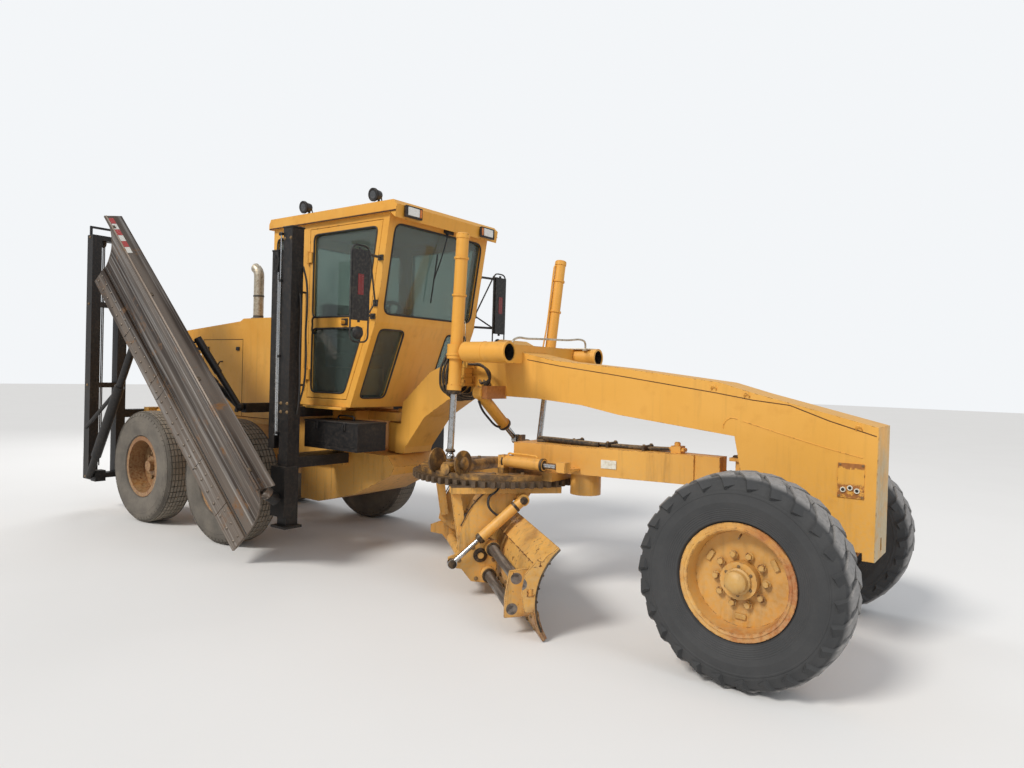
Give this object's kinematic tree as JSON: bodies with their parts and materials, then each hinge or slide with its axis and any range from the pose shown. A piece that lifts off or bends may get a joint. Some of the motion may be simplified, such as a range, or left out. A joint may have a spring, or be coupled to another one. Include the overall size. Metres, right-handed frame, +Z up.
{
  "type": "motor grader with snow wing",
  "caption": "Articulated motor grader with a gooseneck frame, cab, tandem drive, turning blade under a drawbar and a stowed side snow wing on masts.",
  "frame": {"origin": "on the ground under the middle of the machine's overall box", "axes": "+X forwards, +Y to the driver's left, +Z up"},
  "size_m": [8.823, 2.936, 3.49],
  "materials": {
    "frame_paint": "faded satin yellow, rust at edges",
    "axle_paint": "dusty satin yellow",
    "body_paint": "faded satin yellow",
    "blade_paint": "worn yellow over bare steel",
    "cylinder_paint": "satin yellow",
    "rim_paint": "yellow with rust",
    "rod_chrome": "polished, dusty",
    "greasy_steel": "greasy dark steel",
    "black_paint": "worn satin black",
    "grille_paint": "satin black",
    "engine_iron": "rough",
    "stack_metal": "weathered",
    "cab_glass": "tinted, dusty",
    "seat_vinyl": "black vinyl",
    "cab_plastic": "matte",
    "mirror_plastic": "matte black",
    "lamp_plastic": "black housings",
    "wing_steel": "bare worn steel with rust film",
    "tyre": "worn rubber"
  },
  "bodies": {
    "rear_frame": {"rear_frame": "frame_paint", "tandem_cases": "axle_paint", "engine": "engine_iron", "hood": "body_paint", "grille": "grille_paint", "stack": "stack_metal", "cab_shell": "body_paint", "cab_roof": "body_paint", "cab_glass": "cab_glass", "seat": "seat_vinyl", "console": "cab_plastic", "mirrors": "mirror_plastic", "lamps": "lamp_plastic", "side_gear": "black_paint", "front_mast": "black_paint", "rear_mast": "black_paint", "heel_pole": "black_paint"},
    "front_frame": {"main_frame": "frame_paint", "lift_saddle": "frame_paint", "valve_bank": "frame_paint", "front_axle": "axle_paint"},
    "lean_left": {"lean_bracket_left": "axle_paint"},
    "lean_right": {"lean_bracket_right": "axle_paint"},
    "lean_bar": {"lean_bar": "axle_paint"},
    "knuckle_left": {"knuckle_left": "axle_paint"},
    "knuckle_right": {"knuckle_right": "axle_paint"},
    "tie_rod": {"tie_rod": "black_paint"},
    "wheel_front_left": {"tyre_front_left": "tyre", "rim_front_left": "rim_paint"},
    "wheel_front_right": {"tyre_front_right": "tyre", "rim_front_right": "rim_paint"},
    "wheel_mid_left": {"tyre_mid_left": "tyre", "rim_mid_left": "rim_paint"},
    "wheel_mid_right": {"tyre_mid_right": "tyre", "rim_mid_right": "rim_paint"},
    "wheel_rear_left": {"tyre_rear_left": "tyre", "rim_rear_left": "rim_paint"},
    "wheel_rear_right": {"tyre_rear_right": "tyre", "rim_rear_right": "rim_paint"},
    "drawbar_ball": {"drawbar_ball": "greasy_steel"},
    "drawbar": {"drawbar": "frame_paint"},
    "blade_circle": {"blade_circle": "greasy_steel"},
    "blade_bracket": {"blade_bracket": "frame_paint"},
    "moldboard": {"moldboard": "blade_paint"},
    "tilt_barrel": {"tilt_barrel": "cylinder_paint"},
    "tilt_rod": {"tilt_rod": "rod_chrome"},
    "lift_barrel_left": {"lift_barrel_left": "cylinder_paint"},
    "lift_barrel_right": {"lift_barrel_right": "cylinder_paint"},
    "lift_rod_left": {"lift_rod_left": "rod_chrome"},
    "lift_rod_right": {"lift_rod_right": "rod_chrome"},
    "shift_barrel": {"shift_barrel": "cylinder_paint"},
    "shift_rod": {"shift_rod": "rod_chrome"},
    "door_left": {"door_left": "body_paint", "door_glass_left": "cab_glass"},
    "door_right": {"door_right": "body_paint", "door_glass_right": "cab_glass"},
    "wing_carriage": {"wing_carriage": "black_paint"},
    "wing": {"wing": "wing_steel"},
    "push_poles": {"push_poles": "black_paint"}
  },
  "joints": [
    {"name": "articulation", "type": "hinge", "parent": "rear_frame", "child": "front_frame", "pos_m": [-0.0725, 0.19434, 1.145], "axis": [0, 0, 1], "range_deg": [-25, 25]},
    {"name": "lean_left_pivot", "type": "hinge", "parent": "front_frame", "child": "lean_left", "pos_m": [3.7775, 0.96434, 0.5], "axis": [-1, 0, 0], "range_deg": [-18, 18]},
    {"name": "steering_left", "type": "hinge", "parent": "lean_left", "child": "knuckle_left", "pos_m": [3.7775, 0.96434, 0.5], "axis": [0, 0, 1], "range_deg": [-36, 36]},
    {"name": "spin_front_left", "type": "hinge", "parent": "knuckle_left", "child": "wheel_front_left", "pos_m": [3.7775, 1.17934, 0.635], "axis": [0, 1, 0], "continuous": true},
    {"name": "spin_mid_left", "type": "hinge", "parent": "rear_frame", "child": "wheel_mid_left", "pos_m": [-1.5375, 1.17934, 0.635], "axis": [0, 1, 0], "continuous": true},
    {"name": "spin_rear_left", "type": "hinge", "parent": "rear_frame", "child": "wheel_rear_left", "pos_m": [-3.1075, 1.17934, 0.635], "axis": [0, 1, 0], "continuous": true},
    {"name": "lean_right_pivot", "type": "hinge", "parent": "front_frame", "child": "lean_right", "pos_m": [3.7775, -0.57566, 0.5], "axis": [-1, 0, 0], "range_deg": [-18, 18]},
    {"name": "steering_right", "type": "hinge", "parent": "lean_right", "child": "knuckle_right", "pos_m": [3.7775, -0.57566, 0.5], "axis": [0, 0, 1], "range_deg": [-36, 36]},
    {"name": "spin_front_right", "type": "hinge", "parent": "knuckle_right", "child": "wheel_front_right", "pos_m": [3.7775, -0.79066, 0.635], "axis": [0, 1, 0], "continuous": true},
    {"name": "spin_mid_right", "type": "hinge", "parent": "rear_frame", "child": "wheel_mid_right", "pos_m": [-1.5375, -0.79066, 0.635], "axis": [0, 1, 0], "continuous": true},
    {"name": "spin_rear_right", "type": "hinge", "parent": "rear_frame", "child": "wheel_rear_right", "pos_m": [-3.1075, -0.79066, 0.635], "axis": [0, 1, 0], "continuous": true},
    {"name": "lean_bar_pivot", "type": "hinge", "parent": "lean_right", "child": "lean_bar", "pos_m": [3.6525, -0.57566, 0.79], "axis": [-1, 0, 0], "range_deg": [-18, 18]},
    {"name": "tie_rod_slide", "type": "slide", "parent": "front_frame", "child": "tie_rod", "axis": [0, -1, 0], "range_m": [-0.2, 0.2]},
    {"name": "drawbar_swing", "type": "hinge", "parent": "front_frame", "child": "drawbar_ball", "pos_m": [3.4775, 0.19434, 1.08], "axis": [0, 0, 1], "range_deg": [-5, 5]},
    {"name": "drawbar_lift", "type": "hinge", "parent": "drawbar_ball", "child": "drawbar", "pos_m": [3.3475, 0.19434, 1.08], "axis": [0, 1, 0], "range_deg": [-8, 6.5]},
    {"name": "circle_turn", "type": "hinge", "parent": "drawbar", "child": "blade_circle", "pos_m": [1.2375, 0.11434, 0.915], "axis": [0, 0, -1], "range_deg": [-14, 98]},
    {"name": "blade_tilt", "type": "hinge", "parent": "blade_circle", "child": "blade_bracket", "pos_m": [1.06036, -0.08943, 0.34], "axis": [-0.7547, 0.6561, 0], "range_deg": [-8, 20]},
    {"name": "blade_side_shift", "type": "slide", "parent": "blade_bracket", "child": "moldboard", "axis": [0.7547, -0.6561, 0], "range_m": [-0.35, 0.45]},
    {"name": "tilt_barrel_pivot", "type": "hinge", "parent": "blade_circle", "child": "tilt_barrel", "pos_m": [1.79912, -0.29437, 0.79], "axis": [-0.7547, 0.6561, 0], "range_deg": [-10, 10]},
    {"name": "tilt_rod_slide", "type": "slide", "parent": "tilt_barrel", "child": "tilt_rod", "axis": [-0.4913, -0.5652, -0.6627], "range_m": [-0.1, 0.1]},
    {"name": "lift_barrel_left_swing", "type": "hinge", "parent": "front_frame", "child": "lift_barrel_left", "pos_m": [1.2275, 0.89434, 1.98], "axis": [1, 0, 0], "range_deg": [-30, 30]},
    {"name": "lift_rod_left_slide", "type": "slide", "parent": "lift_barrel_left", "child": "lift_rod_left", "axis": [0.0114, 0.1478, 0.989], "range_m": [-0.4, 0.4]},
    {"name": "lift_barrel_right_swing", "type": "hinge", "parent": "front_frame", "child": "lift_barrel_right", "pos_m": [1.2275, -0.50566, 1.98], "axis": [1, 0, 0], "range_deg": [-30, 30]},
    {"name": "lift_rod_right_slide", "type": "slide", "parent": "lift_barrel_right", "child": "lift_rod_right", "axis": [0.0115, 0.0345, 0.9993], "range_m": [-0.4, 0.4]},
    {"name": "shift_barrel_swing", "type": "hinge", "parent": "front_frame", "child": "shift_barrel", "pos_m": [1.2675, -0.23566, 1.64], "axis": [1, 0, 0], "range_deg": [-25, 25]},
    {"name": "shift_rod_slide", "type": "slide", "parent": "shift_barrel", "child": "shift_rod", "axis": [0, 0.7913, -0.6114], "range_m": [-0.35, 0.35]},
    {"name": "door_left_hinge", "type": "hinge", "parent": "rear_frame", "child": "door_left", "pos_m": [-0.7225, 0.91064, 2.3], "axis": [0, 0, 1], "range_deg": [0, 75]},
    {"name": "door_right_hinge", "type": "hinge", "parent": "rear_frame", "child": "door_right", "pos_m": [-0.7225, -0.52196, 2.3], "axis": [0, 0, -1], "range_deg": [0, 32]},
    {"name": "wing_toe_lift", "type": "slide", "parent": "rear_frame", "child": "wing_carriage", "axis": [0, 0, 1], "range_m": [-0.08, 0.25]},
    {"name": "wing_heel", "type": "hinge", "parent": "wing_carriage", "child": "wing", "pos_m": [-0.4575, -1.10566, 0.66], "axis": [0, -0.8049, 0.5934], "range_deg": [0, 50]},
    {"name": "push_poles_swing", "type": "hinge", "parent": "rear_frame", "child": "push_poles", "pos_m": [-1.3325, -0.84566, 1.4], "axis": [0.7354, -0.6367, 0.2319], "range_deg": [0, 75.4]}
  ],
  "couplings": [
    {"joint": "tilt_barrel_pivot", "follows": "blade_tilt", "ratio": 0.2772},
    {"joint": "tilt_rod_slide", "follows": "blade_tilt", "m_per_rad": -0.1183},
    {"joint": "lift_barrel_left_swing", "follows": "drawbar_swing", "ratio": -2.541},
    {"joint": "lift_rod_left_slide", "follows": "drawbar_lift", "m_per_rad": 2.1068},
    {"joint": "lift_barrel_right_swing", "follows": "drawbar_swing", "ratio": -2.5946},
    {"joint": "lift_rod_right_slide", "follows": "drawbar_lift", "m_per_rad": 2.1289},
    {"joint": "shift_barrel_swing", "follows": "drawbar_lift", "ratio": 2.3679},
    {"joint": "shift_rod_slide", "follows": "drawbar_lift", "m_per_rad": -1.2718},
    {"joint": "lean_left_pivot", "follows": "lean_right_pivot", "ratio": 1},
    {"joint": "lean_bar_pivot", "follows": "lean_right_pivot", "ratio": -1},
    {"joint": "steering_left", "follows": "steering_right", "ratio": 1},
    {"joint": "tie_rod_slide", "follows": "steering_right", "m_per_rad": 0.23},
    {"joint": "push_poles_swing", "follows": "wing_heel", "ratio": 1.4878}
  ]
}
